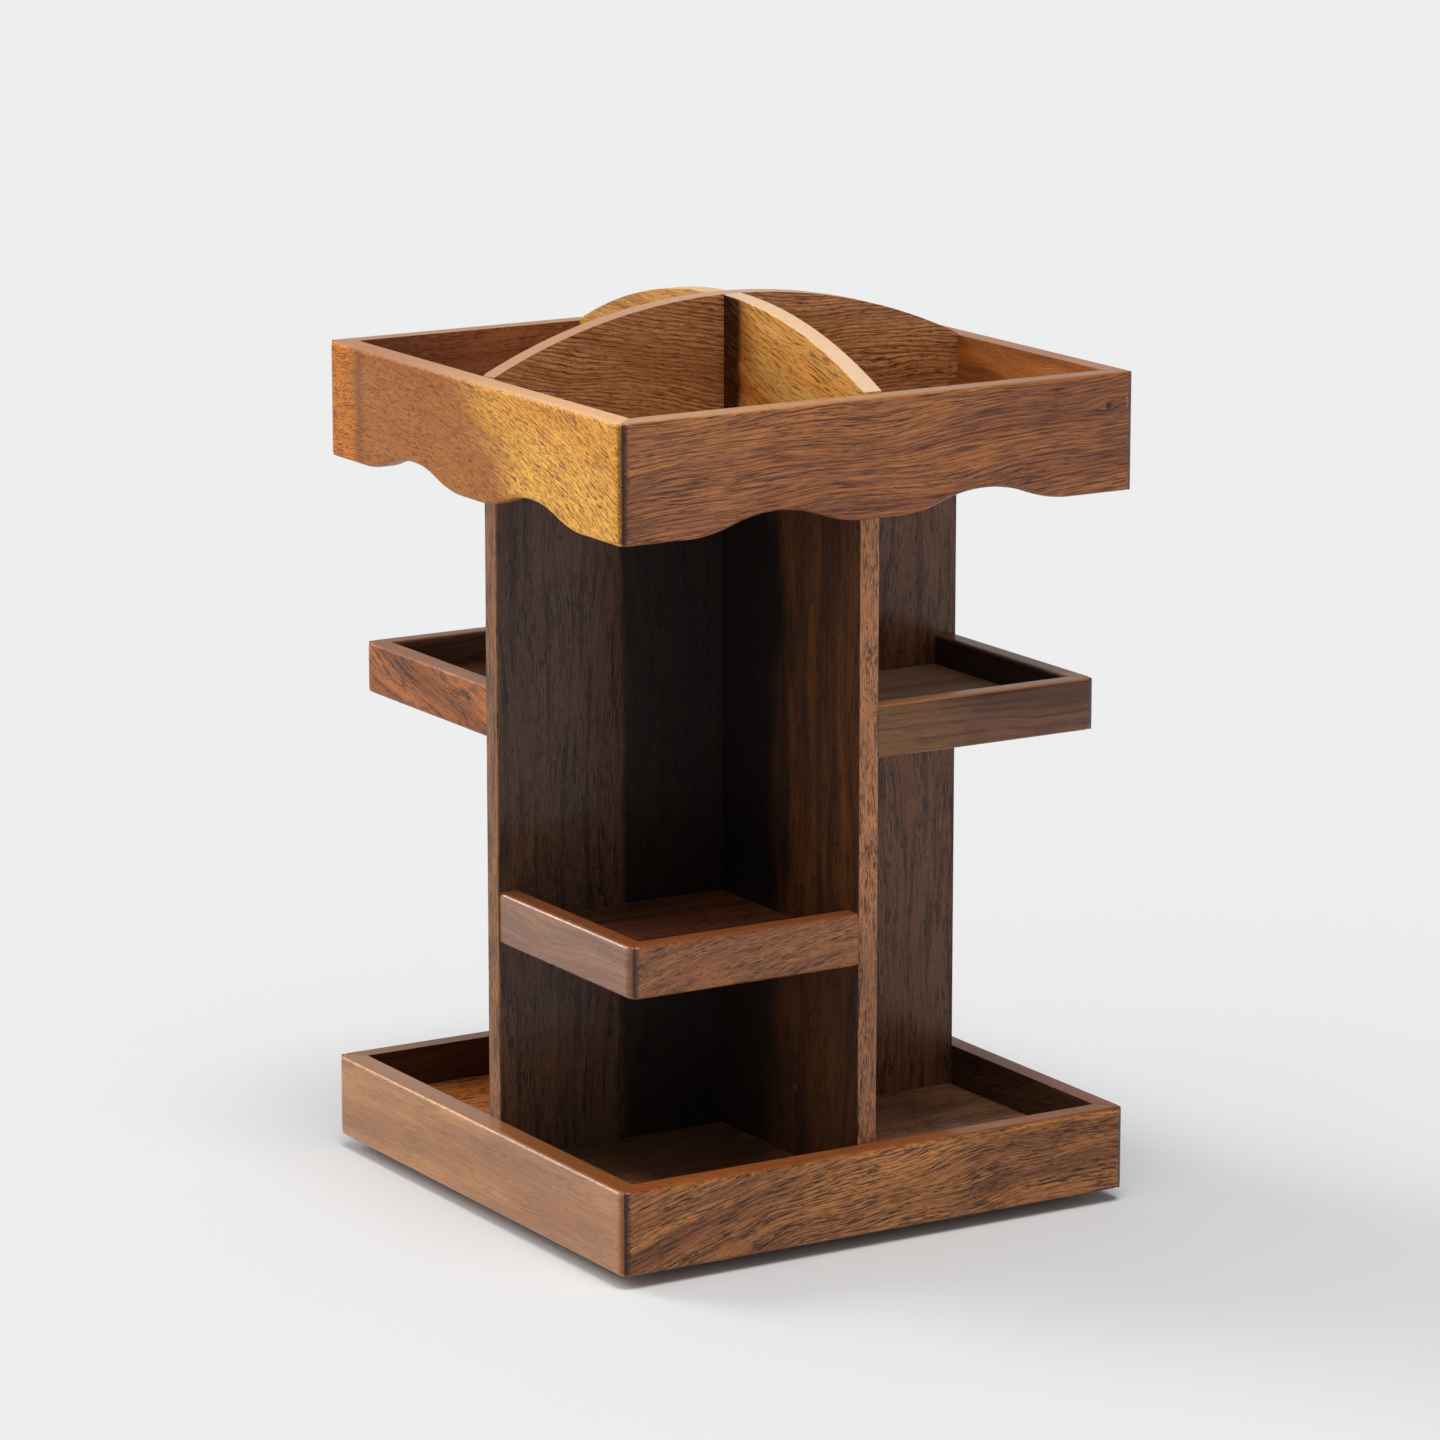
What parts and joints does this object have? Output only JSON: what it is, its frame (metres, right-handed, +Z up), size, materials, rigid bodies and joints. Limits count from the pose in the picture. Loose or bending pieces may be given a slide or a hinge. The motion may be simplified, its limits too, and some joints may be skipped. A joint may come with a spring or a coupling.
{
  "type": "rotating desk organizer",
  "caption": "Square hardwood organizer that turns on a ball-bearing foot, with two trays, a cross-shaped column, corner shelves and arched dividers.",
  "frame": {"origin": "on the ground at the centre of the foot, on the turning axis", "axes": "+Z up along the turning axis, -Y towards the front, +X to the right"},
  "size_m": [0.223, 0.223, 0.346],
  "materials": {
    "foot_wood": "satin lacquer",
    "rubber": "matte",
    "plated_sheet": "zinc plated",
    "nylon": "matte",
    "ball_steel": "polished",
    "fastener_steel": "zinc plated",
    "base_wood": "satin lacquer",
    "column_wood": "satin lacquer, dark heartwood",
    "shelf_wood": "satin lacquer",
    "top_wood": "satin lacquer, golden brown",
    "divider_wood": "satin lacquer"
  },
  "bodies": {
    "foot": {"foot_disc": "foot_wood", "rubber_pads": "rubber", "bearing_lower_plate": "plated_sheet", "lower_plate_screws": "fastener_steel"},
    "ball_ring": {"bearing_cage": "nylon", "bearing_balls": "ball_steel"},
    "carousel": {"bearing_upper_plate": "plated_sheet", "upper_plate_screws": "fastener_steel", "base_front_rail": "base_wood", "base_right_rail": "base_wood", "base_back_rail": "base_wood", "base_left_rail": "base_wood", "base_floor": "base_wood", "column_main_panel": "column_wood", "column_front_panel": "column_wood", "column_back_panel": "column_wood", "column_lower_screws": "fastener_steel", "column_upper_screws": "fastener_steel", "front_left_shelf_front_rail": "shelf_wood", "front_left_shelf_side_rail": "shelf_wood", "front_left_shelf_floor": "shelf_wood", "front_right_shelf_front_rail": "shelf_wood", "front_right_shelf_side_rail": "shelf_wood", "front_right_shelf_floor": "shelf_wood", "back_right_shelf_back_rail": "shelf_wood", "back_right_shelf_side_rail": "shelf_wood", "back_right_shelf_floor": "shelf_wood", "back_left_shelf_back_rail": "shelf_wood", "back_left_shelf_side_rail": "shelf_wood", "back_left_shelf_floor": "shelf_wood", "shelf_brads": "fastener_steel", "top_front_rail": "top_wood", "top_right_rail": "top_wood", "top_back_rail": "top_wood", "top_left_rail": "top_wood", "top_floor": "top_wood", "long_divider": "divider_wood", "front_divider": "divider_wood", "back_divider": "divider_wood", "divider_brads": "fastener_steel"}
  },
  "joints": [
    {"name": "turntable_spin", "type": "hinge", "parent": "foot", "child": "carousel", "pos_m": [0, 0, 0.012], "axis": [0, 0, 1], "continuous": true},
    {"name": "ball_ring_spin", "type": "hinge", "parent": "foot", "child": "ball_ring", "pos_m": [0, 0, 0.012], "axis": [0, 0, 1], "continuous": true}
  ],
  "couplings": [
    {"joint": "ball_ring_spin", "follows": "turntable_spin", "ratio": 0.5}
  ]
}
